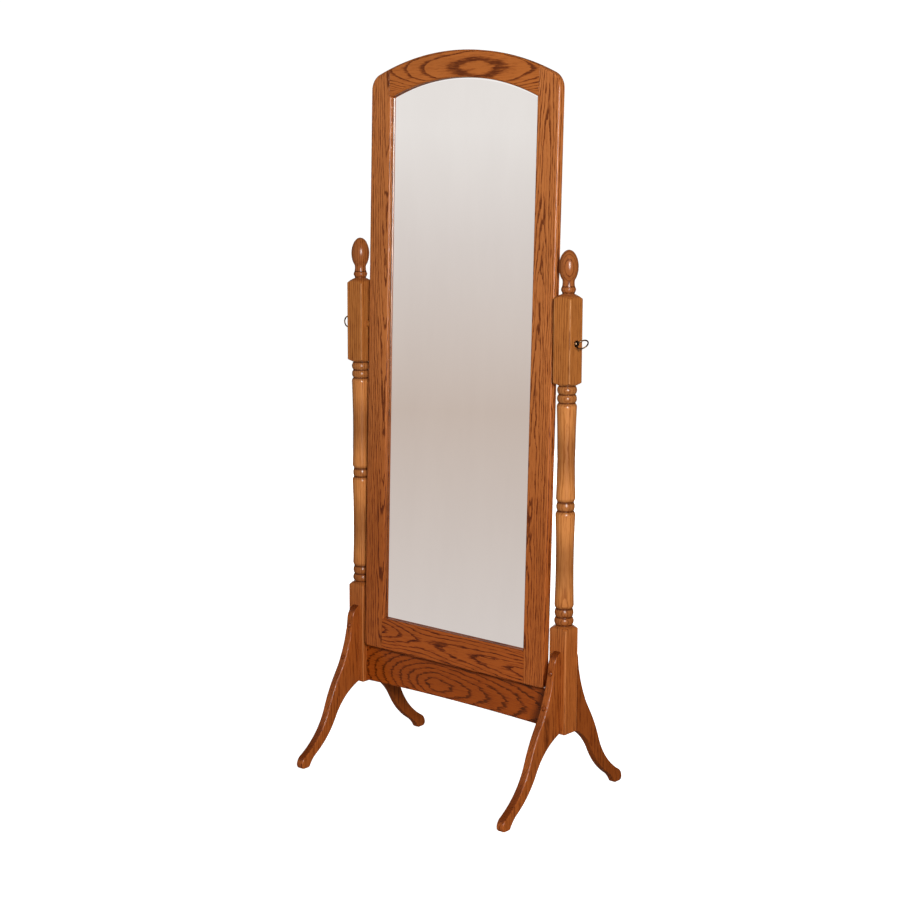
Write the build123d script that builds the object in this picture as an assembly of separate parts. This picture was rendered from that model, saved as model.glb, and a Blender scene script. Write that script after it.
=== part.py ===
from build123d import *
from math import acos, degrees, sqrt
import os

# Cheval floor mirror. Millimetres, +Z up, +X to the right, the glass faces -Y.
# The origin is on the floor, midway between the four feet.

# Driving dimensions of the stand
POST_SPACING = 603.0
POST_SIDE = 45.0
POST_EDGE_ROUND = 2.0
FINIAL_TIP = 1230.0
UPPER_BLOCK = (947.5, 1125.0)
LOWER_BLOCK = (171.0, 404.5)
LEG_THICKNESS = 19.0
LEG_TIP = 358.0
LEG_EDGE_ROUND = 3.0
STRETCHER_LEVELS = (173.0, 261.0)
STRETCHER_THICKNESS = 19.0
STRETCHER_ARCH = 5.0
STRETCHER_ROUND = 3.0

# Driving dimensions of the tilting frame
PIVOT_HEIGHT = 1032.0
REST_TILT = 1.47
FRAME_WIDTH = 537.0
FRAME_ABOVE_PIVOT = 618.0
FRAME_BELOW_PIVOT = 766.0
FRAME_THICKNESS = 19.0
STILE_WIDTH = 60.0
TOP_RAIL_WIDTH = 59.0
BOTTOM_RAIL_WIDTH = 76.0
OUTER_ARCH_RADIUS = 620.0
INNER_ARCH_RADIUS = 535.0
SHOULDER_RADIUS = 38.0
BOTTOM_CORNER_RADIUS = 9.0
FRONT_ROUND = 5.0
BACK_ROUND = 3.0
MOULDING_WIDTH = 4.5
REBATE_WIDTH = 8.0
REBATE_DEPTH = 9.0

# Glass and backing
GLASS_THICKNESS = 4.0
GLASS_BEVEL = (11.5, 0.8)
GLASS_PLAY = 0.5
BACKING_THICKNESS = 5.0

# Pivot hardware
SCREW_RADIUS = 4.0
RUNNING_CLEARANCE = 0.06
BUSH_RADIUS = 6.0
INSERT_RADIUS = 5.5
INSERT_LENGTH = 25.0
WASHER_RADIUS = 7.5
WASHER_THICKNESS = 1.5
COLLAR_RADIUS = 6.0
COLLAR_LENGTH = 2.5
COLLAR_CHAMFER = 1.0
RING_RADIUS = 12.5
RING_WIRE_RADIUS = 1.6
RING_TURNS = {"left": 0.0, "right": -50.0}
FACE_PLAY = 0.15
SCREW_CHAMFER = 1.0
SCREW_SHORT = 3.0
POINT_CLEARANCE = 0.5
POINT_ROOM = 6.0

# Fasteners
FIT_PLAY = 0.05
CUT_PAST = 1.0
LEG_SCREW_LEVELS = (239.0, 312.0)
LEG_SCREW_RADIUS = 2.3
LEG_SCREW_HEAD = (4.2, 3.0)
LEG_SCREW_HEAD_AT = 38.0
LEG_SCREW_LENGTH = 33.0
PLUG_RADIUS = 5.2
PLUG_LENGTH = 7.0
PLUG_DOME = 3.2
DOWEL_RADIUS = 4.0
DOWEL_DEPTH = 20.0
STRETCHER_DOWEL_LEVELS = (199.0, 228.0)
BOTTOM_DOWELS_UP = (20.0, 50.0)
TOP_DOWELS_DOWN = (78.0, 54.0)
CLIP_SHARES = (0.1, 0.36, 0.62, 0.88)
CLIP_LENGTH = 32.0
CLIP_WIDTH = 14.0
CLIP_THICKNESS = 1.5
CLIP_SCREW_RADIUS = 1.8
CLIP_SCREW_LENGTH = 12.0
CLIP_SCREW_HEAD = (3.6, 2.0)
CLIP_SCREW_HEAD_CHAMFER = 0.9

# Derived places
POST_X = POST_SPACING / 2
HALF_POST = POST_SIDE / 2
HALF_FRAME = FRAME_WIDTH / 2
HALF_SIGHT = HALF_FRAME - STILE_WIDTH
HALF_THICKNESS = FRAME_THICKNESS / 2
FRAME_TOP = PIVOT_HEIGHT + FRAME_ABOVE_PIVOT
FRAME_BOTTOM = PIVOT_HEIGHT - FRAME_BELOW_PIVOT
SIGHT_TOP = FRAME_TOP - TOP_RAIL_WIDTH
SIGHT_BOTTOM = FRAME_BOTTOM + BOTTOM_RAIL_WIDTH
SIDES = {"left": -1, "right": 1}


def cylinder_along(radius, start, direction, length):
    """A round bar from a start point along a direction."""
    return extrude(Plane(start, z_dir=direction) * Circle(radius), length)


def bead(top, bottom, root_radius, crest_radius):
    """Half-round ring of a turning, as a profile arc in radius and height."""
    crest = (crest_radius, (top + bottom) / 2)
    return ThreePointArc((root_radius, top), crest, (root_radius, bottom))


# Posts: radii of the turning, then its levels from the top down
SHAFT_RADII = (21.5, 19.5, 21.0)
SHAFT_ENDS = (20.8, 20.3)
SHAFT_END_LENGTH = 12.0
SHAFT_END_BEND = 0.35
GROOVE_RADIUS = 18.0
RING_CREST = 21.5
MIDDLE_RING_CREST = 20.3
WORN_RING_CREST = 20.7
CORNER_RADIUS = POST_SIDE * sqrt(2) / 2
RUN_OUT = 2.0
BLANK_RADIUS = CORNER_RADIUS + RUN_OUT
EGG_RADIUS = 21.0
EGG_HEIGHT = 72.0
EGG_FOOT_ANGLE = 50.0
NECK_RADIUS = 13.0
NECK_BEAD_RADII = (14.0, 16.0)
NECK_WAIST = 1158.0
NECK_BEAD = (1152.0, 1140.5)
NECK_FOOT = 1137.0
UPPER_SHOULDER = 1132.5
UPPER_RINGS = (941.0, 922.5, 904.0)
MIDDLE_RING = (688.0, 668.0)
LOWER_RINGS = (451.5, 432.5, 414.5)
LOWER_SHOULDER = 411.5


def shaft(top, bottom):
    """Hollow-waisted length of the turning between two grooves, rounded in at both ends."""
    bend = SHAFT_END_LENGTH * SHAFT_END_BEND
    high = (SHAFT_RADII[0], top - SHAFT_END_LENGTH)
    waist = (SHAFT_RADII[1], (top + bottom) / 2)
    low = (SHAFT_RADII[2], bottom + SHAFT_END_LENGTH)
    shoulder = ThreePointArc((GROOVE_RADIUS, top), (SHAFT_ENDS[0], top - bend), high)
    body = ThreePointArc(high, waist, low)
    foot = ThreePointArc(low, (SHAFT_ENDS[1], bottom + bend), (GROOVE_RADIUS, bottom))
    return [shoulder, body, foot]


def post_profile():
    """Half outline of the turning, radius along x and height along y."""
    egg_middle = (0, FINIAL_TIP - EGG_HEIGHT / 2)
    egg = EllipticalCenterArc(egg_middle, EGG_RADIUS, EGG_HEIGHT / 2,
                              start_angle=-EGG_FOOT_ANGLE, arc_size=90 + EGG_FOOT_ANGLE)
    bead_root, bead_crest = NECK_BEAD_RADII
    bead_top, bead_foot = NECK_BEAD
    block_low, block_high = UPPER_BLOCK
    base_low, base_high = LOWER_BLOCK
    lines = [
        egg,
        ThreePointArc(egg @ 0, (NECK_RADIUS, NECK_WAIST), (bead_root, bead_top)),
        bead(bead_top, bead_foot, bead_root, bead_crest),
        Line((bead_root, bead_foot), (NECK_RADIUS, NECK_FOOT)),
        ThreePointArc((NECK_RADIUS, NECK_FOOT), (HALF_POST, UPPER_SHOULDER), (CORNER_RADIUS, block_high)),
        Polyline((CORNER_RADIUS, block_high), (BLANK_RADIUS, block_high - RUN_OUT),
                 (BLANK_RADIUS, block_low + RUN_OUT), (CORNER_RADIUS, block_low),
                 (GROOVE_RADIUS, UPPER_RINGS[0])),
        bead(UPPER_RINGS[0], UPPER_RINGS[1], GROOVE_RADIUS, RING_CREST),
        bead(UPPER_RINGS[1], UPPER_RINGS[2], GROOVE_RADIUS, RING_CREST),
        *shaft(UPPER_RINGS[2], MIDDLE_RING[0]),
        bead(MIDDLE_RING[0], MIDDLE_RING[1], GROOVE_RADIUS, MIDDLE_RING_CREST),
        *shaft(MIDDLE_RING[1], LOWER_RINGS[0]),
        bead(LOWER_RINGS[0], LOWER_RINGS[1], GROOVE_RADIUS, WORN_RING_CREST),
        bead(LOWER_RINGS[1], LOWER_RINGS[2], GROOVE_RADIUS, RING_CREST),
        ThreePointArc((GROOVE_RADIUS, LOWER_RINGS[2]), (HALF_POST, LOWER_SHOULDER),
                      (CORNER_RADIUS, base_high)),
        Polyline((CORNER_RADIUS, base_high), (BLANK_RADIUS, base_high - RUN_OUT), (BLANK_RADIUS, base_low),
                 (0, base_low), (0, FINIAL_TIP)),
    ]
    return make_face(Curve() + lines)


def make_post(side):
    """A square blank turned between its two blocks, drilled for the pivot, legs and stretcher."""
    length = FINIAL_TIP - LOWER_BLOCK[0]
    blank = Pos(0, 0, LOWER_BLOCK[0] + length / 2) * Box(POST_SIDE, POST_SIDE, length)
    blank = fillet(blank.edges().filter_by(Axis.Z), POST_EDGE_ROUND)
    turning = revolve(Plane.XZ * post_profile(), Axis.Z)
    post = Pos(side * POST_X, 0, 0) * (blank & turning)
    cross_hole = (side * POST_X - POST_SIDE, 0, PIVOT_HEIGHT)
    post -= cylinder_along(BUSH_RADIUS + FIT_PLAY, cross_hole, (1, 0, 0), 2 * POST_SIDE)
    pilot_end = LEG_SCREW_HEAD_AT - LEG_SCREW_LENGTH - CUT_PAST
    for facing in (-1, 1):
        for level in LEG_SCREW_LEVELS:
            start = (side * POST_X, facing * pilot_end, level)
            post -= cylinder_along(LEG_SCREW_RADIUS + FIT_PLAY, start, (0, facing, 0), POST_SIDE)
    for level in STRETCHER_DOWEL_LEVELS:
        start = (side * (POST_X - HALF_POST + DOWEL_DEPTH + CUT_PAST), 0, level)
        post -= cylinder_along(DOWEL_RADIUS + FIT_PLAY, start, (-side, 0, 0), DOWEL_DEPTH + 2 * CUT_PAST)
    return post


# Legs: reach from the post's axis, then height
LEG_CROWN_BEND = (36.4, 348.0)
LEG_CROWN = (44.0, 330.0)
LEG_SHIN = ((89.4, 201.3), (125.8, 127.4))
FOOT_TOP = (207.2, 29.6)
TOE_RADIUS = 9.0
HEEL_REACH = 196.0
HEEL_RADIUS = 5.0
HEEL_TURN = 61.6
LEG_CALF = ((168.6, 27.8), (102.1, 101.1))


def leg_outline():
    """Side view of a leg as tangent arcs, reach along x and height along y."""
    tip = (HALF_POST, LEG_TIP)
    crotch = (HALF_POST, LOWER_BLOCK[0])
    crown = ThreePointArc(tip, LEG_CROWN_BEND, LEG_CROWN)
    upper = TangentArc(LEG_CROWN, LEG_SHIN[0], tangent=crown % 1)
    shin = TangentArc(LEG_SHIN[0], LEG_SHIN[1], tangent=upper % 1)
    flare = TangentArc(LEG_SHIN[1], FOOT_TOP, tangent=shin % 1)
    fall = flare % 1
    knuckle_radius = (FOOT_TOP[1] - TOE_RADIUS) / fall.X
    knuckle = JernArc(FOOT_TOP, fall, knuckle_radius, degrees(acos(fall.X)) - 90)
    toe = JernArc(knuckle @ 1, (0, -1), TOE_RADIUS, -90)
    sole = Line(toe @ 1, (HEEL_REACH, 0))
    heel = JernArc((HEEL_REACH, 0), (-1, 0), HEEL_RADIUS, -HEEL_TURN)
    arch = TangentArc(heel @ 1, LEG_CALF[0], tangent=heel % 1)
    calf = TangentArc(LEG_CALF[0], LEG_CALF[1], tangent=arch % 1)
    knee = TangentArc(LEG_CALF[1], crotch, tangent=calf % 1)
    outer = [crown, upper, shin, flare, knuckle, toe]
    inner = [sole, heel, arch, calf, knee, Line(crotch, tip)]
    return make_face(Curve() + outer + inner)


def edge_reach(level):
    """Reach of the leg's outer edge at a height, found on the outline itself."""
    ray = Line((HALF_POST + 1, level), (FOOT_TOP[0], level))
    return (leg_outline() & ray).bounding_box().max.X


def make_leg(side, facing):
    """A sawn board with rounded arrises, bored for two plugged screws."""
    board = extrude(Plane.YZ * leg_outline(), LEG_THICKNESS / 2, both=True)
    flats = board.faces().filter_by(Axis.X)
    arrises = flats.edges().filter_by(lambda edge: edge.center().Y > HALF_POST + FIT_PLAY)
    board = fillet(arrises, LEG_EDGE_ROUND)
    seat = LEG_SCREW_HEAD_AT - LEG_SCREW_HEAD[1]
    for level in LEG_SCREW_LEVELS:
        board -= cylinder_along(LEG_SCREW_RADIUS + FIT_PLAY, (0, 0, level), (0, 1, 0), FOOT_TOP[0])
        board -= cylinder_along(PLUG_RADIUS + FIT_PLAY, (0, seat, level), (0, 1, 0), FOOT_TOP[0])
    if facing < 0:
        board = mirror(board, Plane.XZ)
    return Pos(side * POST_X, 0, 0) * board


def make_leg_screw(side, facing, level):
    """Wood screw with a flat-bottomed head, head outward."""
    outward = (0, facing, 0)
    head_radius, head_height = LEG_SCREW_HEAD
    shank_start = (side * POST_X, facing * (LEG_SCREW_HEAD_AT - LEG_SCREW_LENGTH), level)
    shank = cylinder_along(LEG_SCREW_RADIUS, shank_start, outward, LEG_SCREW_LENGTH)
    head_start = (side * POST_X, facing * (LEG_SCREW_HEAD_AT - head_height), level)
    return shank + cylinder_along(head_radius, head_start, outward, head_height)


def make_plug(side, facing, level):
    """Domed wooden button that closes a screw hole in the leg's edge."""
    start = (side * POST_X, facing * (edge_reach(level) - PLUG_LENGTH), level)
    plug = cylinder_along(PLUG_RADIUS, start, (0, facing, 0), PLUG_LENGTH + PLUG_DOME)
    rim = plug.edges().filter_by(GeomType.CIRCLE).sort_by(Axis.Y)[-1 if facing > 0 else 0]
    return fillet(rim, PLUG_DOME)


# Stretcher
def make_stretcher():
    """Board between the base blocks, its lower edge slightly arched."""
    low, high = STRETCHER_LEVELS
    half = POST_X - HALF_POST
    outline = make_face(Curve() + [
        Polyline((-half, low), (-half, high), (half, high), (half, low)),
        ThreePointArc((half, low), (0, low + STRETCHER_ARCH), (-half, low)),
    ])
    board = extrude(Plane.XZ * outline, STRETCHER_THICKNESS / 2, both=True)
    faces = board.faces().filter_by(Axis.Y)
    board = fillet(faces.edges().filter_by(lambda edge: edge.length > half), STRETCHER_ROUND)
    for side in SIDES.values():
        for level in STRETCHER_DOWEL_LEVELS:
            start = (side * (half - DOWEL_DEPTH - CUT_PAST), 0, level)
            board -= cylinder_along(DOWEL_RADIUS + FIT_PLAY, start, (side, 0, 0), DOWEL_DEPTH + 2 * CUT_PAST)
    return board


def make_stretcher_dowel(side, level):
    """Dowel half in the stretcher and half in the base block."""
    start = (side * (POST_X - HALF_POST - DOWEL_DEPTH), 0, level)
    return cylinder_along(DOWEL_RADIUS, start, (side, 0, 0), 2 * DOWEL_DEPTH)


# Tilting frame, drawn upright and then leaned back by the rest tilt
def lean(piece):
    """Turn an upright piece about the pivot axis to its rest position."""
    return piece.rotate(Axis((0, 0, PIVOT_HEIGHT), (1, 0, 0)), -REST_TILT)


def arched_face(half_width, bottom, crown, arch_radius):
    """Upright panel outline with an arched head."""
    spring = crown - arch_radius + sqrt(arch_radius ** 2 - half_width ** 2)
    return make_face(Curve() + [
        Polyline((-half_width, spring), (-half_width, bottom), (half_width, bottom), (half_width, spring)),
        ThreePointArc((half_width, spring), (0, crown), (-half_width, spring)),
    ])


def sight_face(margin=0.0):
    """The opening of the frame, or its outline grown outward by a margin."""
    return arched_face(HALF_SIGHT + margin, SIGHT_BOTTOM - margin,
                       SIGHT_TOP + margin, INNER_ARCH_RADIUS + margin)


def frame_face():
    """Outside of the frame, with round shoulders and eased lower corners."""
    face = arched_face(HALF_FRAME, FRAME_BOTTOM, FRAME_TOP, OUTER_ARCH_RADIUS)
    face = fillet(face.vertices().group_by(Axis.Y)[-1], SHOULDER_RADIUS)
    return fillet(face.vertices().group_by(Axis.Y)[0], BOTTOM_CORNER_RADIUS)


def make_frame_blank():
    """The four members in one plate: arrises rounded, opening cut, rebate for the glass behind."""
    plate = extrude(Plane.XZ * frame_face(), HALF_THICKNESS, both=True)
    plate = fillet(plate.faces().sort_by(Axis.Y)[0].edges(), FRONT_ROUND)
    plate = fillet(plate.faces().sort_by(Axis.Y)[-1].edges(), BACK_ROUND)
    opening = extrude(Plane.XZ * sight_face(), FRAME_THICKNESS, both=True)
    rebate = extrude(Plane.XZ.offset(-HALF_THICKNESS) * sight_face(REBATE_WIDTH), REBATE_DEPTH)
    return plate - opening - rebate


def moulding_waste():
    """Section of the wood taken off to round the sight edge: x into the wood, y backward."""
    front = -HALF_THICKNESS
    bend = MOULDING_WIDTH * (1 - sqrt(0.5))
    root = front + MOULDING_WIDTH
    return make_face(Curve() + [
        Polyline((MOULDING_WIDTH, front), (MOULDING_WIDTH, front - CUT_PAST), (-CUT_PAST, front - CUT_PAST),
                 (-CUT_PAST, root), (0, root)),
        ThreePointArc((0, root), (bend, front + bend), (MOULDING_WIDTH, front)),
    ])


def stile_moulding(side):
    """Waste along a stile's sight edge."""
    plane = Plane((side * HALF_SIGHT, 0, FRAME_BOTTOM), x_dir=(side, 0, 0), z_dir=(0, 0, side))
    return extrude(plane * moulding_waste(), side * (FRAME_TOP - FRAME_BOTTOM))


def bottom_moulding():
    """Waste along the bottom rail's sight edge."""
    plane = Plane((0, 0, SIGHT_BOTTOM), x_dir=(0, 0, -1), z_dir=(1, 0, 0))
    return extrude(plane * moulding_waste(), HALF_FRAME, both=True)


def arch_moulding():
    """Waste along the top rail's arched sight edge."""
    plane = Plane((0, 0, SIGHT_TOP), x_dir=(0, 0, 1), z_dir=(-1, 0, 0))
    return revolve(plane * moulding_waste(), Axis((0, 0, SIGHT_TOP - INNER_ARCH_RADIUS), (0, 1, 0)))


SHOULDER_X = HALF_SIGHT + MOULDING_WIDTH


def arch_height(margin, x):
    """Height of the sight arch, grown by a margin, at a distance from the middle."""
    centre = SIGHT_TOP - INNER_ARCH_RADIUS
    return centre + sqrt((INNER_ARCH_RADIUS + margin) ** 2 - x ** 2)


def rail_region(sight_z, mitre_z, far_z):
    """Wedge that parts a rail from the stiles: square shoulders, mitred at the moulding."""
    middle = (SIGHT_TOP + SIGHT_BOTTOM) / 2
    corners = [(SHOULDER_X, far_z), (SHOULDER_X, mitre_z), (HALF_SIGHT, sight_z), (0, middle)]
    mirrored = [(-x, z) for x, z in reversed(corners[:-1])]
    outline = make_face(Polyline(*corners, *mirrored, close=True))
    return extrude(Plane.XZ * outline, FRAME_THICKNESS, both=True)


TOP_MITRE = (arch_height(0, HALF_SIGHT), arch_height(MOULDING_WIDTH, SHOULDER_X))
BOTTOM_MITRE = (SIGHT_BOTTOM, SIGHT_BOTTOM - MOULDING_WIDTH)
TOP_RAIL_REGION = rail_region(*TOP_MITRE, FRAME_TOP + CUT_PAST)
BOTTOM_RAIL_REGION = rail_region(*BOTTOM_MITRE, FRAME_BOTTOM - CUT_PAST)
FRAME_DOWEL_LEVELS = [FRAME_BOTTOM + up for up in BOTTOM_DOWELS_UP]
FRAME_DOWEL_LEVELS += [FRAME_TOP - down for down in TOP_DOWELS_DOWN]


def make_frame_dowel(side, level, play=0.0):
    """Dowel across a stile's shoulder into the rail's end, or its hole."""
    reach = DOWEL_DEPTH + play
    start = (side * (SHOULDER_X - reach), 0, level)
    return cylinder_along(DOWEL_RADIUS + play, start, (side, 0, 0), 2 * reach)


def clip_planes():
    """Planes on the frame's back, one for each clip: x points inward over the backing, z backward."""
    heights = [SIGHT_BOTTOM + (SIGHT_TOP - SIGHT_BOTTOM) * share for share in CLIP_SHARES]
    edge = HALF_SIGHT + REBATE_WIDTH
    places = [((side * edge, height), (-side, 0)) for side in SIDES.values() for height in heights]
    places.append(((0, SIGHT_TOP + REBATE_WIDTH), (0, -1)))
    places.append(((0, SIGHT_BOTTOM - REBATE_WIDTH), (0, 1)))
    return [Plane((x, HALF_THICKNESS, z), x_dir=(inward_x, 0, inward_z), z_dir=(0, 1, 0))
            for (x, z), (inward_x, inward_z) in places]


CLIP_SCREW_AT = Pos(-CLIP_LENGTH / 3, 0)


def make_clip(plane):
    """Flat round-ended clip over the backing's edge."""
    outline = SlotOverall(CLIP_LENGTH, CLIP_WIDTH) - CLIP_SCREW_AT * Circle(CLIP_SCREW_RADIUS + FIT_PLAY)
    return extrude(plane * outline, CLIP_THICKNESS)


def make_clip_screw_shank(plane, play=0.0):
    """Shank of a clip screw, or its pilot hole."""
    outline = CLIP_SCREW_AT * Circle(CLIP_SCREW_RADIUS + play)
    return extrude(plane.offset(CLIP_THICKNESS) * outline, -CLIP_SCREW_LENGTH - play)


def make_clip_screw(plane):
    """Pan-headed screw through a clip."""
    head_radius, head_height = CLIP_SCREW_HEAD
    head = extrude(plane.offset(CLIP_THICKNESS) * CLIP_SCREW_AT * Circle(head_radius), head_height)
    rim = head.edges().filter_by(GeomType.CIRCLE).sort_by(Axis.Y)[-1]
    return make_clip_screw_shank(plane) + chamfer(rim, CLIP_SCREW_HEAD_CHAMFER)


def make_insert_hole(side):
    """Blind hole in a stile's outer edge for the threaded insert and the screw's point."""
    mouth = (side * (HALF_FRAME + CUT_PAST), 0, PIVOT_HEIGHT)
    inward = (-side, 0, 0)
    depth = CUT_PAST + INSERT_LENGTH
    hole = cylinder_along(INSERT_RADIUS + FIT_PLAY, mouth, inward, depth)
    return hole + cylinder_along(SCREW_RADIUS + POINT_CLEARANCE, mouth, inward, depth + POINT_ROOM)


def make_frame_members():
    """Stiles and rails, parted from the blank and bored for their dowels, screws and inserts."""
    blank = make_frame_blank()
    for level in FRAME_DOWEL_LEVELS:
        for side in SIDES.values():
            blank -= make_frame_dowel(side, level, FIT_PLAY)
    for plane in clip_planes():
        blank -= make_clip_screw_shank(plane, FIT_PLAY)
    for side in SIDES.values():
        blank -= make_insert_hole(side)
    stiles = blank - TOP_RAIL_REGION - BOTTOM_RAIL_REGION - stile_moulding(-1) - stile_moulding(1)
    left, right = stiles.solids().sort_by(Axis.X)
    return {
        "left_stile": left,
        "right_stile": right,
        "top_rail": (blank & TOP_RAIL_REGION) - arch_moulding(),
        "bottom_rail": (blank & BOTTOM_RAIL_REGION) - bottom_moulding(),
    }


def make_glass():
    """Arched mirror plate with a bevelled front edge, seated in the rebate."""
    margin = REBATE_WIDTH - GLASS_PLAY
    bevel_width, bevel_depth = GLASS_BEVEL
    seat = Plane.XZ.offset(REBATE_DEPTH - HALF_THICKNESS)
    rim = seat.offset(-bevel_depth) * sight_face(margin)
    flat = seat * sight_face(margin - bevel_width)
    return extrude(rim, bevel_depth - GLASS_THICKNESS) + loft([rim, flat], ruled=True)


def make_backing():
    """Board that fills the rebate behind the glass, flush with the frame's back."""
    back = Plane.XZ.offset(-HALF_THICKNESS)
    return extrude(back * sight_face(REBATE_WIDTH - GLASS_PLAY), BACKING_THICKNESS)


# Pivot hardware, one set on each side
GAP = POST_X - HALF_POST - HALF_FRAME
OUTER_FACE = POST_X + HALF_POST


def tube(side, start, length, outer, inner):
    """Hollow bar on the pivot axis, from a distance from the middle outward."""
    start_point = (side * start, 0, PIVOT_HEIGHT)
    bar = cylinder_along(outer, start_point, (side, 0, 0), length)
    return bar - cylinder_along(inner, start_point, (side, 0, 0), length)


def make_bush(side):
    """Brass bush in the post's cross hole, in which the screw turns."""
    return tube(side, POST_X - HALF_POST, POST_SIDE, BUSH_RADIUS, SCREW_RADIUS + RUNNING_CLEARANCE)


def make_washer(side):
    """Washer on the post's outer face, under the screw's collar."""
    return tube(side, OUTER_FACE, WASHER_THICKNESS, WASHER_RADIUS, SCREW_RADIUS + RUNNING_CLEARANCE)


def make_spacer(side):
    """Collar that keeps the frame clear of the post and rubs on it."""
    return tube(side, HALF_FRAME, GAP - FACE_PLAY, WASHER_RADIUS, SCREW_RADIUS + RUNNING_CLEARANCE)


def make_insert(side):
    """Threaded insert in the stile's edge."""
    start = HALF_FRAME - INSERT_LENGTH
    return tube(side, start, INSERT_LENGTH, INSERT_RADIUS, SCREW_RADIUS + RUNNING_CLEARANCE)


def make_thumbscrew(side, ring_turn):
    """Screw with a collar and a ring to turn it by; the ring's plane holds the screw's axis."""
    collar_at = OUTER_FACE + WASHER_THICKNESS + FACE_PLAY
    collar_end = collar_at + COLLAR_LENGTH
    ring_at = collar_end + RING_RADIUS
    point = HALF_FRAME - INSERT_LENGTH + SCREW_SHORT
    outline = make_face(Polyline(
        (point, 0), (point, SCREW_RADIUS - SCREW_CHAMFER), (point + SCREW_CHAMFER, SCREW_RADIUS),
        (collar_at, SCREW_RADIUS), (collar_at, COLLAR_RADIUS),
        (collar_end - COLLAR_CHAMFER, COLLAR_RADIUS), (collar_end, COLLAR_RADIUS - COLLAR_CHAMFER),
        (collar_end, 0), close=True))
    bar = revolve(outline, Axis.X)
    ring_plane = Plane((ring_at, 0, 0), x_dir=(1, 0, 0), z_dir=(0, 1, 0))
    ring = ring_plane * Torus(RING_RADIUS, RING_WIRE_RADIUS)
    screw = Rot(ring_turn, 0, 0) * (bar + ring)
    if side < 0:
        screw = mirror(screw, Plane.YZ)
    return Pos(0, 0, PIVOT_HEIGHT) * screw


# Assembly
def group(pieces):
    """Separate solids that share one node."""
    return Compound([piece.solid() for piece in pieces])


def make_parts():
    parts = {"stretcher": make_stretcher()}
    facings = {"front": -1, "back": 1}
    leg_places = [(side, facing, level) for side in SIDES.values() for facing in facings.values()
                  for level in LEG_SCREW_LEVELS]
    frame_places = [(side, level) for side in SIDES.values() for level in FRAME_DOWEL_LEVELS]
    parts["leg_screws"] = group(make_leg_screw(*place) for place in leg_places)
    parts["leg_plugs"] = group(make_plug(*place) for place in leg_places)
    parts["stretcher_dowels"] = group(make_stretcher_dowel(side, level) for side in SIDES.values()
                                      for level in STRETCHER_DOWEL_LEVELS)
    leaning = make_frame_members()
    leaning["frame_dowels"] = group(make_frame_dowel(*place) for place in frame_places)
    leaning["mirror_glass"] = make_glass()
    leaning["backing_panel"] = make_backing()
    leaning["backing_clips"] = group(make_clip(plane) for plane in clip_planes())
    leaning["clip_screws"] = group(make_clip_screw(plane) for plane in clip_planes())
    for name, side in SIDES.items():
        parts[name + "_post"] = make_post(side)
        parts[name + "_pivot_bush"] = make_bush(side)
        parts[name + "_washer"] = make_washer(side)
        for end, facing in facings.items():
            parts[f"{name}_{end}_leg"] = make_leg(side, facing)
        leaning[name + "_spacer"] = make_spacer(side)
        leaning[name + "_threaded_insert"] = make_insert(side)
        parts[name + "_thumbscrew"] = make_thumbscrew(side, RING_TURNS[name])
    parts.update({name: lean(piece) for name, piece in leaning.items()})
    return parts


os.makedirs("parts", exist_ok=True)
for node, shape in make_parts().items():
    export_step(shape, f"parts/{node}.step")
    print(node, len(shape.solids()), round(sum(solid.volume for solid in shape.solids())))
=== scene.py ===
from dataclasses import dataclass
from math import cos, radians, sin
import bpy
from mathutils import Matrix, Vector


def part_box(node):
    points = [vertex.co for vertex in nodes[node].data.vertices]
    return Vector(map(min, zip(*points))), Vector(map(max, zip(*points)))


# Cheval floor mirror in stained oak. Metres, +Z up, the glass faces -Y.
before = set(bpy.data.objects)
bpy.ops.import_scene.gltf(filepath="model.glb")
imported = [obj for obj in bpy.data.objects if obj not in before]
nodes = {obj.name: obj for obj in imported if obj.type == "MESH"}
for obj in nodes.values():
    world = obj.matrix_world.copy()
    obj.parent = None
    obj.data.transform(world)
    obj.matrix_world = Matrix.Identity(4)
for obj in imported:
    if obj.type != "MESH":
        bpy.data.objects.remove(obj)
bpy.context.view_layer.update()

# Camera
CAMERA_PLACE = (2.6604, -3.1545, 1.4970)
CAMERA_AZIMUTH = 0.70502
CAMERA_PITCH = 0.17595
CAMERA_ROLL = 0.00294
CAMERA_LENS = 74.146
SENSOR_WIDTH = 36.0

# Light: a soft lamp beside the camera, a tall bright strip by it that only gloss shows, a wide weak lamp
# behind the object, a dim room, and a pale wall in front of the glass
KEY_PLACE = (3.25, -2.72, 2.0)
KEY_SIZE = (0.7, 0.7)
KEY_POWER = 170.0
STRIP_PLACE = (3.25, -2.72, 1.45)
STRIP_SIZE = (0.4, 1.4)
STRIP_POWER = 380.0
FILL_PLACE = (-2.8, 3.3, 1.0)
FILL_SIZE = (3.2, 1.6)
FILL_POWER = 80.0
SUBJECT_PLACE = (0.0, 0.0, 0.85)
BACKDROP = (1.05, 1.05, 1.05, 1.0)
ROOM_LIGHT = (0.30, 0.29, 0.28, 1.0)
ROOM_DARK = (0.07, 0.065, 0.06, 1.0)
WALL_SPAN = (-0.25, 0.05)
WALL_EDGE = (0.1, 0.6)
WALL = [(0.07, (0.742, 0.680, 0.649, 1)), (0.45, (0.650, 0.547, 0.485, 1)),
        (0.75, (0.781, 0.718, 0.686, 1)), (0.95, (0.912, 0.876, 0.852, 1))]
FRONT = (0.0, -1.0, 0.0)
FLOOR_REACH = 9.0
FLOOR_WHITE = (0.94, 0.94, 0.94, 1.0)
FLOOR_GLOW = 0.82
PAPER_FLECKS = (30, 30, 30)
PAPER_DULLNESS = (0.6, 0.75)
PAPER_SHEEN = 0.2

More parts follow.
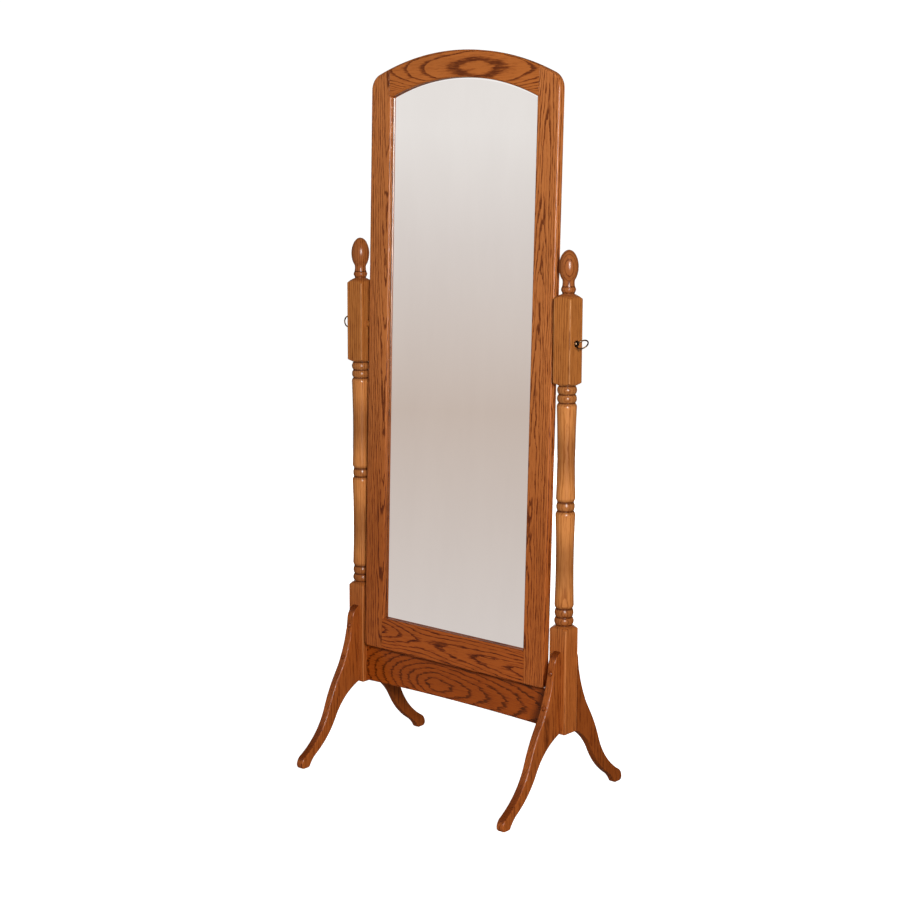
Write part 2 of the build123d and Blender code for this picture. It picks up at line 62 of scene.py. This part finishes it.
# Sizes shared with the solids
POST_X = 0.3015
STILE_X = 0.2385
HALF_BOARD = 0.0095
PIVOT_HEIGHT = 1.032
REST_TILT = radians(1.47)
FRAME_BACK = (0, cos(REST_TILT), -sin(REST_TILT))
FRAME_UP = (0, sin(REST_TILT), cos(REST_TILT))
FRAME_AHEAD = (0, -cos(REST_TILT), sin(REST_TILT))
MM = 1000.0

# Most of a noise lies between these values
NOISE_SPAN = (0.3, 0.7)


class Shader:
    """Wires the nodes of one material or world. A value is a number, a colour or another node's socket."""

    def __init__(self, owner):
        owner.use_nodes = True
        self.tree = owner.node_tree
        self.tree.nodes.clear()

    def feed(self, socket, value):
        if isinstance(value, bpy.types.NodeSocket):
            self.tree.links.new(value, socket)
        else:
            socket.default_value = value

    def node(self, kind, settings=(), **inputs):
        node = self.tree.nodes.new(kind)
        for name, value in dict(settings).items():
            setattr(node, name, value)
        for name, value in inputs.items():
            self.feed(node.inputs[name.replace("_", " ")], value)
        return node

    def math(self, operation, *values):
        node = self.node("ShaderNodeMath", {"operation": operation})
        for socket, value in zip(node.inputs, values):
            self.feed(socket, value)
        return node.outputs[0]

    def vector(self, operation, *values, output="Vector"):
        node = self.node("ShaderNodeVectorMath", {"operation": operation})
        for socket, value in zip(node.inputs, values):
            self.feed(socket, value)
        return node.outputs[output]

    def place(self, output="Object"):
        return self.node("ShaderNodeTexCoord").outputs[output]

    def parts_of(self, vector):
        return self.node("ShaderNodeSeparateXYZ", Vector=vector).outputs

    def noise(self, vector, detail=2.0, roughness=0.5):
        node = self.node("ShaderNodeTexNoise", Vector=vector, Scale=1.0, Detail=detail,
                         Roughness=roughness)
        return node.outputs[0]

    def sway(self, vector, amount, detail=2.0, roughness=0.5):
        """Noise about zero, from minus to plus about the amount."""
        return self.math("MULTIPLY_ADD", self.noise(vector, detail, roughness), 2 * amount, -amount)

    def span(self, value, low, high, to_low=0.0, to_high=1.0, smooth=True):
        """Maps low to high onto a new range, held at its ends."""
        curve = "SMOOTHSTEP" if smooth else "LINEAR"
        node = self.node("ShaderNodeMapRange", {"interpolation_type": curve}, Value=value,
                         From_Min=low, From_Max=high, To_Min=to_low, To_Max=to_high)
        return node.outputs[0]

    def mix(self, share, first, second, blend="MIX"):
        node = self.node("ShaderNodeMix", {"data_type": "RGBA", "blend_type": blend})
        sockets = (node.inputs[0], node.inputs[6], node.inputs[7])
        for socket, value in zip(sockets, (share, first, second)):
            self.feed(socket, value)
        return node.outputs[2]

    def tint(self, share, colour, tone_shift):
        """The colour, multiplied by another colour over the given share."""
        return self.mix(share, colour, self.mix(1.0, colour, tone_shift, "MULTIPLY"))

    def ramp(self, value, stops):
        node = self.node("ShaderNodeValToRGB", Fac=value)
        elements = node.color_ramp.elements
        while len(elements) < len(stops):
            elements.new(1.0)
        for element, (position, colour) in zip(elements, stops):
            element.position = position
            element.color = colour
        return node.outputs[0]

    def rounded(self, radius):
        """Surface direction with the arrises rounded off."""
        return self.node("ShaderNodeBevel", Radius=radius).outputs[0]

    def bump(self, height, distance, strength, **normal):
        node = self.node("ShaderNodeBump", Height=height, Distance=distance, Strength=strength, **normal)
        return node.outputs[0]

    def surface(self, **inputs):
        shader = self.node("ShaderNodeBsdfPrincipled", **inputs)
        self.node("ShaderNodeOutputMaterial", Surface=shader.outputs[0])


def grey(level):
    return (level, level, level, 1.0)


def new_material(name):
    material = bpy.data.materials.new(name)
    return material, Shader(material)


@dataclass
class Cut:
    """How a board lay in its log, in millimetres. The rings stand round a pith line that ran along the board
    in front of its face. Where that line bows, they close into ovals or open into arrowheads."""
    pith: float             # distance of the pith line in front of the heart of the figure
    spacing: float          # width of a ring
    first: float = 0.0      # share of a ring by which the count starts late
    tilt: float = 0.0       # slope of the pith line away from the face
    arch: float = 0.0       # slope at which the pith line leaves the face on both sides of the heart
    soft: float = 100.0     # length over which that bow turns
    aside: float = 0.0      # distance of the pith line to one side
    drift: float = 0.0      # slope of the pith line across the board
    taper: float = 0.0      # growth gained for each millimetre along the board, as the trunk narrows
    wander: float = 3.0     # size of the rings' waves
    ragged: float = 0.8     # size of the tears in the rings' rims
    crowd: float = 0.0      # how fast the rings get closer outward
    uneven: float = 0.9     # how many rings good and poor years shift the count
    bold: float = 1.0       # darkness of the rings
    streaks: float = 0.8    # strength of the streaks along the grain


# Board directions: along the grain, then into the board
ALONG_X = ((1, 0, 0), (0, 1, 0))
ALONG_Z = ((0, 0, 1), (0, 1, 0))
BROADSIDE = ((0, 0, 1), (1, 0, 0))
RAIL = ((1, 0, 0), FRAME_BACK)
STILE = (FRAME_UP, FRAME_BACK)

# Marks in oak: millimetres along the grain, into the board and across it
BROAD_WAVE = (170, 38, 38)
SMALL_WAVE = (40, 9, 9)
RING_RIM = (38, 4.5, 4.5)
RIM_TEAR = (40, 2.8, 2.8)
FIBRE = (30, 2.1, 2.1)
STREAK = (50, 3.4, 3.4)
RAY_FLECK = (5, 5, 0.9)
CLOUD = (300, 60, 60)
SMEAR = (90, 40, 40)

# How strongly the marks show
BROAD_SHARE = 2.0
SMALL_SHARE = 0.5
SEASON_RATE = 0.55
RING_PROFILE = [(0.0, grey(0.50)), (0.04, grey(0.95)), (0.15, grey(0.78)), (0.32, grey(0.32)),
                (0.60, grey(0.10)), (0.95, grey(0.05)), (1.0, grey(0.50))]
TEAR = 0.65
BAND_EDGES = (0.28, 0.78)
BAND_WEIGHT = 0.55
FIBRE_SWAY = 1.5
PORES_IN_RINGS = 0.7
PORE_EDGES = (0.15, 0.70)
PORE_WEIGHT = 0.46
FLECK_EDGES = (0.66, 0.76)
FLECK_PALENESS = 0.10
CLOUD_SHADE = [(0.3, grey(0.86)), (0.7, grey(1.0))]

# Lacquer over the oak
GLOSS = 0.22
SMEAR_DULLNESS = 0.14
PORE_DULLNESS = 0.10
SMEAR_RISE = 0.35
BAND_DIP = 0.25
PORE_DEPTH = 0.00010
RELIEF = 0.5
ARRIS = 0.0025
LACQUER = {"Specular_IOR_Level": 0.02, "Coat_Weight": 0.16, "Coat_Roughness": 0.21, "Coat_IOR": 1.5}

# Colour multiplied over part of a piece: darker toward the foot of each stile, and painted shade where a
# leg's edge turns upward
LEFT_FOOT_DARKENING = (0.77, 0.60, 0.42, 1.0)
RIGHT_FOOT_DARKENING = (0.84, 0.68, 0.52, 1.0)
FOOT_SPAN = (-650.0, 50.0)
FLARE_PAINTED_SHADE = (0.50, 0.42, 0.38, 1.0)
FLARE_SHADE_SPAN = (0.35, 0.65)

STAIN_STOPS = (0.0, 0.4, 1.0)


def oak_tone(*colours):
    """Colour stops from the clear wood between the rings to the open pores."""
    return [(stop, (*colour, 1.0)) for stop, colour in zip(STAIN_STOPS, colours)]


TONES = {
    "shaft_oak": oak_tone((0.570, 0.217, 0.059), (0.474, 0.165, 0.042), (0.350, 0.108, 0.024)),
    "block_oak": oak_tone((0.462, 0.158, 0.035), (0.348, 0.107, 0.022), (0.180, 0.046, 0.007)),
    "egg_oak": oak_tone((0.340, 0.105, 0.026), (0.268, 0.076, 0.018), (0.128, 0.028, 0.005)),
    "frame_oak": oak_tone((0.500, 0.145, 0.028), (0.375, 0.097, 0.017), (0.130, 0.025, 0.003)),
    "stile_oak": oak_tone((0.525, 0.170, 0.043), (0.392, 0.113, 0.026), (0.145, 0.032, 0.006)),
    "rail_oak": oak_tone((0.415, 0.094, 0.014), (0.300, 0.060, 0.009), (0.085, 0.013, 0.0015)),
    "foot_oak": oak_tone((0.455, 0.124, 0.024), (0.350, 0.087, 0.016), (0.148, 0.030, 0.004)),
    "leg_oak": oak_tone((0.370, 0.092, 0.016), (0.280, 0.064, 0.010), (0.118, 0.022, 0.003)),
    # Painted shade: the back legs' tone is a darker copy of the front legs' tone
    "back_oak": oak_tone((0.290, 0.066, 0.010), (0.215, 0.045, 0.006), (0.090, 0.015, 0.002)),
    "base_oak": oak_tone((0.350, 0.070, 0.007), (0.260, 0.047, 0.005), (0.090, 0.017, 0.001)),
    "plug_oak": oak_tone((0.260, 0.055, 0.008), (0.195, 0.038, 0.005), (0.085, 0.014, 0.002)),
}


def board_space(s, directions, heart):
    """Position on a board in millimetres from the figure's heart: along the grain, into it, across it."""
    along, into = (Vector(direction).normalized() for direction in directions)
    turn = Matrix((along, into, along.cross(into)))
    shift = turn @ Vector(heart) * -MM
    node = s.node("ShaderNodeMapping", Vector=s.place(), Location=shift, Rotation=turn.to_euler(),
                  Scale=(MM, MM, MM))
    return node.outputs[0]


def marks(s, board, size):
    """Position on a board, counted in marks of a size."""
    return s.vector("MULTIPLY", board, tuple(1 / length for length in size))


def ring_count(s, board, cut):
    """Rings grown between the heart of the figure and each point of a board."""
    along, into, across = s.parts_of(board)
    reach = s.math("SQRT", s.math("MULTIPLY_ADD", along, along, cut.soft * cut.soft))
    depth = s.math("ADD", into, cut.pith - cut.arch * cut.soft)
    depth = s.math("MULTIPLY_ADD", along, cut.tilt, depth)
    depth = s.math("MULTIPLY_ADD", reach, cut.arch, depth)
    side = s.math("MULTIPLY_ADD", along, cut.drift, s.math("ADD", across, cut.aside))
    radius = s.math("SQRT", s.math("MULTIPLY_ADD", side, side, s.math("MULTIPLY", depth, depth)))
    growth = s.math("SUBTRACT", radius, (cut.pith ** 2 + cut.aside ** 2) ** 0.5)
    growth = s.math("MULTIPLY_ADD", along, cut.taper, growth)
    growth = s.math("ADD", growth, s.sway(marks(s, board, BROAD_WAVE), BROAD_SHARE * cut.wander))
    growth = s.math("ADD", growth, s.sway(marks(s, board, SMALL_WAVE), SMALL_SHARE * cut.wander))
    torn_rim = s.sway(marks(s, board, RING_RIM), cut.ragged, detail=3.0, roughness=0.6)
    growth = s.math("ADD", growth, torn_rim)
    rate = s.math("MULTIPLY_ADD", growth, cut.crowd, 1 / cut.spacing)
    rings = s.math("MULTIPLY_ADD", growth, rate, -cut.first)
    seasons = s.node("ShaderNodeTexNoise", {"noise_dimensions": "1D"}, W=rings, Scale=SEASON_RATE,
                     Detail=1.0)
    return s.math("MULTIPLY_ADD", seasons.outputs[0], cut.uneven, rings)


def lacquered(s, board, colour, band, pores):
    """Clear finish: uneven gloss, sunken pores and rings, arrises rounded by sanding."""
    smear = s.noise(marks(s, board, SMEAR), detail=4.0, roughness=0.6)
    dullness = s.math("MULTIPLY_ADD", pores, PORE_DULLNESS, GLOSS)
    dullness = s.math("MULTIPLY_ADD", smear, SMEAR_DULLNESS, dullness)
    dips = s.math("MULTIPLY_ADD", band, BAND_DIP, pores)
    height = s.math("SUBTRACT", s.math("MULTIPLY", smear, SMEAR_RISE), dips)
    rounded = s.rounded(ARRIS)
    relief = s.bump(height, PORE_DEPTH, RELIEF, Normal=rounded)
    s.surface(Base_Color=colour, Roughness=dullness, Normal=relief, Coat_Normal=rounded, **LACQUER)


def oak(name, tone, directions, heart, cut, foot=None, upward_shade=None, post=None):
    """Stained and lacquered oak: rings, pores, streaks and pale flecks over a cloudy ground. The colour may
    darken toward the foot, painted shade may darken edges that turn upward, and a post has its own tones by
    height, with painted shade and a painted highlight."""
    material, s = new_material(name)
    board = board_space(s, directions, heart)
    early = s.ramp(s.math("FRACT", ring_count(s, board, cut)), RING_PROFILE)
    tear = s.sway(marks(s, board, RIM_TEAR), TEAR)
    fibre = s.sway(marks(s, board, FIBRE), FIBRE_SWAY, detail=3.0, roughness=0.65)
    band = s.span(s.math("ADD", early, tear), *BAND_EDGES)
    pores = s.span(s.math("MULTIPLY_ADD", early, PORES_IN_RINGS, fibre), *PORE_EDGES)
    streak = s.sway(marks(s, board, STREAK), cut.streaks, detail=3.0, roughness=0.65)
    fleck = s.span(s.noise(marks(s, board, RAY_FLECK), detail=1.0), *FLECK_EDGES, 0.0, FLECK_PALENESS)
    figure = s.math("MULTIPLY_ADD", band, BAND_WEIGHT * cut.bold, s.math("MULTIPLY", pores, PORE_WEIGHT))
    dark = s.math("SUBTRACT", s.math("ADD", figure, streak), fleck)
    colour = s.ramp(dark, TONES[tone])
    if post is not None:
        colour = turned_tone(s, dark, colour, post)
    # Darker toward the foot of the board
    if foot is not None:
        along = s.parts_of(board)[0]
        colour = s.tint(s.span(along, *FOOT_SPAN, 1.0, 0.0), colour, foot)
    # Painted shade on the edges whose surface turns upward
    if upward_shade is not None:
        upward = s.parts_of(s.place("Normal"))[2]
        colour = s.tint(s.span(upward, *FLARE_SHADE_SPAN), colour, upward_shade)
    cloud = s.ramp(s.noise(marks(s, board, CLOUD)), CLOUD_SHADE)
    colour = s.mix(1.0, colour, cloud, "MULTIPLY")
    lacquered(s, board, colour, band, pores)
    return material


# Tones on a post, with painted shade in its grooves and a painted highlight on its block arrises: levels in
# metres, radii about its axis in millimetres
FOOT_LEVELS = (0.36, 0.52)
BLOCK_LEVELS = (0.942, 0.948)
EGG_LEVELS = (1.126, 1.136)
RING_GROUPS = ((0.9225, 0.021), (0.678, 0.013), (0.433, 0.021))
RING_FADE = 0.006
RING_DARKENING = 0.40
NECK_LINES = (1.1395, 1.1525)
NECK_FADE = (0.0005, 0.0022)
NECK_DARKENING = 0.8
# Painted shade in the grooves and up the bead flanks; the same tint also darkens the ring groups and the
# neck lines
GROOVE_SHADE_RADII = (18.3, 20.6)
GROOVE_SHADE_AND_RING_TINT = (0.26, 0.19, 0.15, 1.0)
# Painted highlight along the arrises of the square blocks
ARRIS_HIGHLIGHT_RADII = (28.8, 31.6)
PAINTED_ARRIS_HIGHLIGHT = (1.18, 1.45, 2.10, 1.0)


def turned_tone(s, dark, colour, post):
    """A post's tones: its stain deeper on the base block and the egg, darker over the rings and at the neck,
    painted shade darkest down in the grooves, and a painted highlight, pale, on the arrises of the square
    blocks."""
    offset = s.vector("SUBTRACT", s.place(), (post, 0, 0))
    height = s.parts_of(offset)[2]
    colour = s.mix(s.span(height, *FOOT_LEVELS), s.ramp(dark, TONES["foot_oak"]), colour)
    colour = s.mix(s.span(height, *BLOCK_LEVELS), colour, s.ramp(dark, TONES["block_oak"]))
    colour = s.mix(s.span(height, *EGG_LEVELS), colour, s.ramp(dark, TONES["egg_oak"]))
    radius = s.vector("LENGTH", s.vector("MULTIPLY", offset, (MM, MM, 0)), output="Value")
    # Painted highlight: lighter along the arrises of the square blocks
    colour = s.tint(s.span(radius, *ARRIS_HIGHLIGHT_RADII), colour, PAINTED_ARRIS_HIGHLIGHT)
    # Painted shade down in the grooves and up the bead flanks
    tone_shift = s.span(radius, *GROOVE_SHADE_RADII, 1.0, 0.0)
    tone_shift = s.math("MULTIPLY", tone_shift, s.math("LESS_THAN", height, EGG_LEVELS[0]))
    # Dark lines at the neck
    for level in NECK_LINES:
        away = s.math("ABSOLUTE", s.math("SUBTRACT", height, level))
        tone_shift = s.math("MAXIMUM", tone_shift, s.span(away, *NECK_FADE, NECK_DARKENING, 0.0))
    # Darker over the ring groups
    for level, half in RING_GROUPS:
        away = s.math("ABSOLUTE", s.math("SUBTRACT", height, level))
        tone_shift = s.math("MAXIMUM", tone_shift, s.span(away, half, half + RING_FADE, RING_DARKENING, 0.0))
    return s.tint(tone_shift, colour, GROOVE_SHADE_AND_RING_TINT)


# Glass: wiping marks to the metre, and how squarely a face looks ahead, from the bevel to the flat
WIPES = (9, 9, 2.5)
WIPE_EDGES = (0.45, 0.75)
GLASS_DULLNESS = (0.012, 0.045)
BEVEL_FACING = (0.9978, 0.9992)
GLASS_TONE = [(0.3, (0.845, 0.835, 0.825, 1)), (0.7, (0.870, 0.862, 0.852, 1))]
# Painted highlight: the bevel reflects brighter than the flat
BEVEL_PAINTED_HIGHLIGHT = (0.98, 0.98, 0.98, 1.0)


def silvered_glass():
    """Mirror plate: the flat reads slightly warm, the bevel painted brighter as a painted highlight, with
    faint wiping marks.
    """
    material, s = new_material("mirror_plate")
    facing = s.vector("DOT_PRODUCT", s.place("Normal"), FRAME_AHEAD, output="Value")
    bevel = s.span(facing, *BEVEL_FACING, 1.0, 0.0)
    wiped = s.noise(s.vector("MULTIPLY", s.place(), WIPES), detail=4.0, roughness=0.6)
    colour = s.mix(bevel, s.ramp(wiped, GLASS_TONE), BEVEL_PAINTED_HIGHLIGHT)
    s.surface(Base_Color=colour, Metallic=1.0, Roughness=s.span(wiped, *WIPE_EDGES, *GLASS_DULLNESS))
    return material


# Metal: tool lines to the metre
EVEN_LINES = (1000, 1000, 1000)
TURNED_LINES = (3000, 500, 500)
LINE_DEPTH = 0.00006
LINE_SHARE = 0.3
PATCH_SHARE = 0.85
METAL_STOPS = (0.35, 0.75)


def metal(name, dark, light, dullness, patches, lines=EVEN_LINES):
    """Metal with patchy tone, fine tool lines and uneven gloss; patches and lines to the metre."""
    material, s = new_material(name)
    patch = s.noise(s.vector("MULTIPLY", s.place(), (patches,) * 3), detail=4.0, roughness=0.6)
    line = s.noise(s.vector("MULTIPLY", s.place(), lines))
    tone = s.math("MULTIPLY_ADD", line, LINE_SHARE, s.math("MULTIPLY", patch, PATCH_SHARE))
    colour = s.ramp(tone, list(zip(METAL_STOPS, (dark, light))))
    s.surface(Base_Color=colour, Metallic=1.0, Roughness=s.span(patch, *NOISE_SPAN, *dullness),
              Normal=s.bump(line, LINE_DEPTH, RELIEF))
    return material


# Pressed fibre board: marks to the millimetre
MATTED_FIBRES = (0.35, 0.35, 0.35)
BARK_BITS = (0.9, 0.9, 0.25)
PRESS_CLOUDS = (0.012, 0.012, 0.012)
FIBRE_SHARE = 0.75
CLOUD_SHARE = 0.3
BIT_EDGES = (0.62, 0.72)
BIT_SHARE = 0.5
FIBRE_RISE = 0.0002
FIBRE_RELIEF = 0.6
BOARD_DULLNESS = (0.68, 0.85)
BOARD_TONE = [(0.3, (0.115, 0.062, 0.032, 1)), (0.75, (0.300, 0.185, 0.105, 1))]
BIT_TONE = (0.06, 0.032, 0.018, 1.0)


def hardboard():
    """Pressed fibre board: matted fibres, small dark bits, dull."""
    material, s = new_material("backing_board")
    place = s.vector("MULTIPLY", s.place(), (MM, MM, MM))
    mat = s.noise(s.vector("MULTIPLY", place, MATTED_FIBRES), detail=6.0, roughness=0.7)
    bits = s.span(s.noise(s.vector("MULTIPLY", place, BARK_BITS)), *BIT_EDGES)
    clouds = s.noise(s.vector("MULTIPLY", place, PRESS_CLOUDS), detail=3.0)
    tone = s.math("ADD", s.math("MULTIPLY", mat, FIBRE_SHARE), s.math("MULTIPLY", clouds, CLOUD_SHARE))
    colour = s.mix(s.math("MULTIPLY", bits, BIT_SHARE), s.ramp(tone, BOARD_TONE), BIT_TONE)
    s.surface(Base_Color=colour, Roughness=s.span(mat, *NOISE_SPAN, *BOARD_DULLNESS),
              Normal=s.bump(mat, FIBRE_RISE, FIBRE_RELIEF))
    return material


# Beech: marks to the millimetre
BEECH_GRAIN = (0.03, 0.8, 0.8)
BEECH_FLECKS = (0.4, 1.6, 1.6)
BEECH_FLECK_EDGES = (0.64, 0.72)
BEECH_FLECK_SHARE = 0.5
GRAIN_RISE = 0.0001
BEECH_DULLNESS = (0.55, 0.68)
BEECH_TONE = [(0.3, (0.52, 0.34, 0.19, 1)), (0.7, (0.66, 0.47, 0.29, 1))]
BEECH_FLECK_TONE = (0.33, 0.19, 0.10, 1.0)


def beech():
    """Bare turned dowel: pale, with short dark flecks."""
    material, s = new_material("dowel_beech")
    place = s.vector("MULTIPLY", s.place(), (MM, MM, MM))
    grain = s.noise(s.vector("MULTIPLY", place, BEECH_GRAIN), detail=3.0)
    flecks = s.noise(s.vector("MULTIPLY", place, BEECH_FLECKS), detail=1.0)
    flecks = s.span(flecks, *BEECH_FLECK_EDGES, 0.0, BEECH_FLECK_SHARE)
    colour = s.mix(flecks, s.ramp(grain, BEECH_TONE), BEECH_FLECK_TONE)
    s.surface(Base_Color=colour, Roughness=s.span(grain, *NOISE_SPAN, *BEECH_DULLNESS),
              Normal=s.bump(grain, GRAIN_RISE, RELIEF))
    return material


def dress(node, material):
    """Give a solid its finish."""
    slots = nodes[node].data.materials
    slots.clear()
    slots.append(material)


def middle(node):
    low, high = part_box(node)
    return low.lerp(high, 0.5)


def on_front(x, z):
    """Point on the front face of the leaning frame."""
    pivot = Vector((x, 0, PIVOT_HEIGHT))
    return pivot + Vector(FRAME_UP) * (z - PIVOT_HEIGHT) - Vector(FRAME_BACK) * HALF_BOARD


# Where the figure of each board has its heart, across and up, and how the board was cut
TOP_RAIL_HEART = (0.041, 1.609)
TOP_RAIL_CUT = Cut(pith=60, spacing=60, first=0.06, arch=0.0834, soft=30, wander=0.9, ragged=0.6,
                   crowd=0.0085, uneven=0)
BOTTOM_RAIL_HEART = (-0.088, 0.308)
BOTTOM_RAIL_CUT = Cut(pith=32, spacing=6.5, first=0.78, tilt=0.04, arch=-0.11, soft=25, drift=0.05,
                      wander=1.8, ragged=2.6, uneven=0.3, streaks=1.0)
STILE_HEART = 1.05
LEFT_STILE_CUT = Cut(pith=14, spacing=5.0, first=0.3, aside=22, taper=-0.034, ragged=1.9, bold=1.4,
                     streaks=0.9)
RIGHT_STILE_CUT = Cut(pith=14, spacing=5.0, first=0.6, aside=-10, drift=0.025, taper=0.030, ragged=2.2,
                      bold=1.25, streaks=1.0)
STRETCHER_HEART = (-0.0655, -HALF_BOARD, 0.206)
STRETCHER_CUT = Cut(pith=17, spacing=9.4, first=0.5, tilt=-0.09, arch=0.266, soft=15, wander=1.0,
                    ragged=4.5, uneven=0)
POST_HEART = 0.7
SPACER_CUT = Cut(pith=30, spacing=2.4, aside=20, wander=0.8)
PLUG_CUT = Cut(pith=60, spacing=2.2, aside=30, wander=0.8)
SIDES = (("left", -1), ("right", 1))
# The back legs take their darker tone as painted shade
ENDS = (("front", -1, "leg_oak"), ("back", 1, "back_oak"))


def post_cut(side):
    return Cut(pith=70, spacing=4.6, first=0.5, tilt=0.012, aside=58 * side, wander=1.2, bold=0.85,
               streaks=0.6)


def leg_cut(side, facing):
    return Cut(pith=70, spacing=4.8, first=0.2 * side, tilt=0.012, aside=46 * facing, wander=2.4,
               bold=0.45, streaks=1.2)


def dress_frame():
    dress("top_rail", oak("top_rail_oak", "frame_oak", RAIL, on_front(*TOP_RAIL_HEART), TOP_RAIL_CUT))
    dress("bottom_rail", oak("bottom_rail_oak", "rail_oak", RAIL, on_front(*BOTTOM_RAIL_HEART),
                             BOTTOM_RAIL_CUT))
    dress("left_stile", oak("left_stile_oak", "stile_oak", STILE, on_front(-STILE_X, STILE_HEART),
                            LEFT_STILE_CUT, foot=LEFT_FOOT_DARKENING))
    dress("right_stile", oak("right_stile_oak", "stile_oak", STILE, on_front(STILE_X, STILE_HEART),
                             RIGHT_STILE_CUT, foot=RIGHT_FOOT_DARKENING))


def dress_stand():
    dress("stretcher", oak("stretcher_oak", "base_oak", ALONG_X, STRETCHER_HEART, STRETCHER_CUT))
    for name, side in SIDES:
        post = name + "_post"
        axis = side * POST_X
        dress(post, oak(post + "_oak", "shaft_oak", ALONG_Z, (axis, 0, POST_HEART), post_cut(side),
                        post=axis))
        for end, facing, tone in ENDS:
            leg = f"{name}_{end}_leg"
            dress(leg, oak(leg + "_oak", tone, BROADSIDE, middle(leg), leg_cut(side, facing),
                           upward_shade=FLARE_PAINTED_SHADE))
        spacer = name + "_spacer"
        dress(spacer, oak(spacer + "_oak", "block_oak", ALONG_X, middle(spacer), SPACER_CUT))
    dress("leg_plugs", oak("plug_oak", "plug_oak", ALONG_Z, middle("leg_plugs"), PLUG_CUT))


def dress_fittings():
    bronze = metal("antique_bronze", dark=(0.022, 0.014, 0.009, 1), light=(0.130, 0.080, 0.045, 1),
                   dullness=(0.26, 0.48), patches=260)
    brass = metal("brass", dark=(0.10, 0.062, 0.024, 1), light=(0.26, 0.175, 0.075, 1),
                  dullness=(0.30, 0.48), patches=180, lines=TURNED_LINES)
    zinc = metal("zinc_steel", dark=(0.34, 0.34, 0.33, 1), light=(0.66, 0.65, 0.62, 1),
                 dullness=(0.50, 0.70), patches=420)
    dowel = beech()
    dress("mirror_glass", silvered_glass())
    nodes["mirror_glass"].visible_diffuse = False
    dress("backing_panel", hardboard())
    for node in ("stretcher_dowels", "frame_dowels"):
        dress(node, dowel)
    for node in ("backing_clips", "clip_screws", "leg_screws"):
        dress(node, zinc)
    for name, _ in SIDES:
        for fitting in ("thumbscrew", "washer"):
            dress(f"{name}_{fitting}", bronze)
        for fitting in ("pivot_bush", "threaded_insert"):
            dress(f"{name}_{fitting}", brass)


def make_floor():
    """White sweep that glows a little, so that it runs into the backdrop."""
    mesh = bpy.data.meshes.new("floor")
    corners = [(x * FLOOR_REACH, y * FLOOR_REACH, 0) for x, y in ((-1, -1), (1, -1), (1, 1), (-1, 1))]
    mesh.from_pydata(corners, [], [(0, 1, 2, 3)])
    floor = bpy.data.objects.new("floor", mesh)
    floor.visible_diffuse = False
    floor.visible_glossy = False
    bpy.context.collection.objects.link(floor)
    material, s = new_material("floor_paper")
    fleck = s.noise(s.vector("MULTIPLY", s.place(), PAPER_FLECKS), detail=3.0)
    s.surface(Base_Color=FLOOR_WHITE, Roughness=s.span(fleck, *NOISE_SPAN, *PAPER_DULLNESS),
              Specular_IOR_Level=PAPER_SHEEN, Emission_Color=FLOOR_WHITE, Emission_Strength=FLOOR_GLOW)
    mesh.materials.append(material)


def area_light(name, place, size, power):
    light = bpy.data.lights.new(name, "AREA")
    light.shape = "RECTANGLE"
    light.size, light.size_y = size
    light.energy = power
    lamp = bpy.data.objects.new(name, light)
    lamp.location = place
    lamp.rotation_euler = (Vector(SUBJECT_PLACE) - lamp.location).to_track_quat("-Z", "Y").to_euler()
    bpy.context.collection.objects.link(lamp)
    return lamp


def make_sky():
    """White backdrop; round the object a dim room, with a pale warm wall in front of the glass."""
    world = bpy.data.worlds.new("studio")
    bpy.context.scene.world = world
    s = Shader(world)
    path = s.node("ShaderNodeLightPath").outputs
    direction = s.place("Generated")
    wall = s.ramp(s.span(s.parts_of(direction)[2], *WALL_SPAN, smooth=False), WALL)
    ahead = s.span(s.vector("DOT_PRODUCT", direction, FRONT, output="Value"), *WALL_EDGE)
    colour = s.mix(path["Is Glossy Ray"], ROOM_LIGHT, s.mix(ahead, ROOM_DARK, wall))
    colour = s.mix(path["Is Camera Ray"], colour, BACKDROP)
    background = s.node("ShaderNodeBackground", Color=colour)
    s.node("ShaderNodeOutputWorld", Surface=background.outputs[0])


def make_camera():
    camera = bpy.data.cameras.new("camera")
    camera.lens = CAMERA_LENS
    camera.sensor_width = SENSOR_WIDTH
    ahead = Vector((-sin(CAMERA_AZIMUTH) * cos(CAMERA_PITCH), cos(CAMERA_AZIMUTH) * cos(CAMERA_PITCH),
                    -sin(CAMERA_PITCH)))
    level = Vector((cos(CAMERA_AZIMUTH), sin(CAMERA_AZIMUTH), 0))
    upright = level.cross(ahead)
    right = level * cos(CAMERA_ROLL) + upright * sin(CAMERA_ROLL)
    turn = Matrix((right, right.cross(ahead), -ahead)).transposed()
    eye = bpy.data.objects.new("camera", camera)
    eye.matrix_world = Matrix.Translation(CAMERA_PLACE) @ turn.to_4x4()
    bpy.context.collection.objects.link(eye)
    bpy.context.scene.camera = eye


dress_frame()
dress_stand()
dress_fittings()
make_floor()
make_sky()
area_light("key", KEY_PLACE, KEY_SIZE, KEY_POWER)
area_light("strip", STRIP_PLACE, STRIP_SIZE, STRIP_POWER).visible_diffuse = False
area_light("fill", FILL_PLACE, FILL_SIZE, FILL_POWER)
make_camera()
bpy.context.scene.view_settings.view_transform = "Standard"
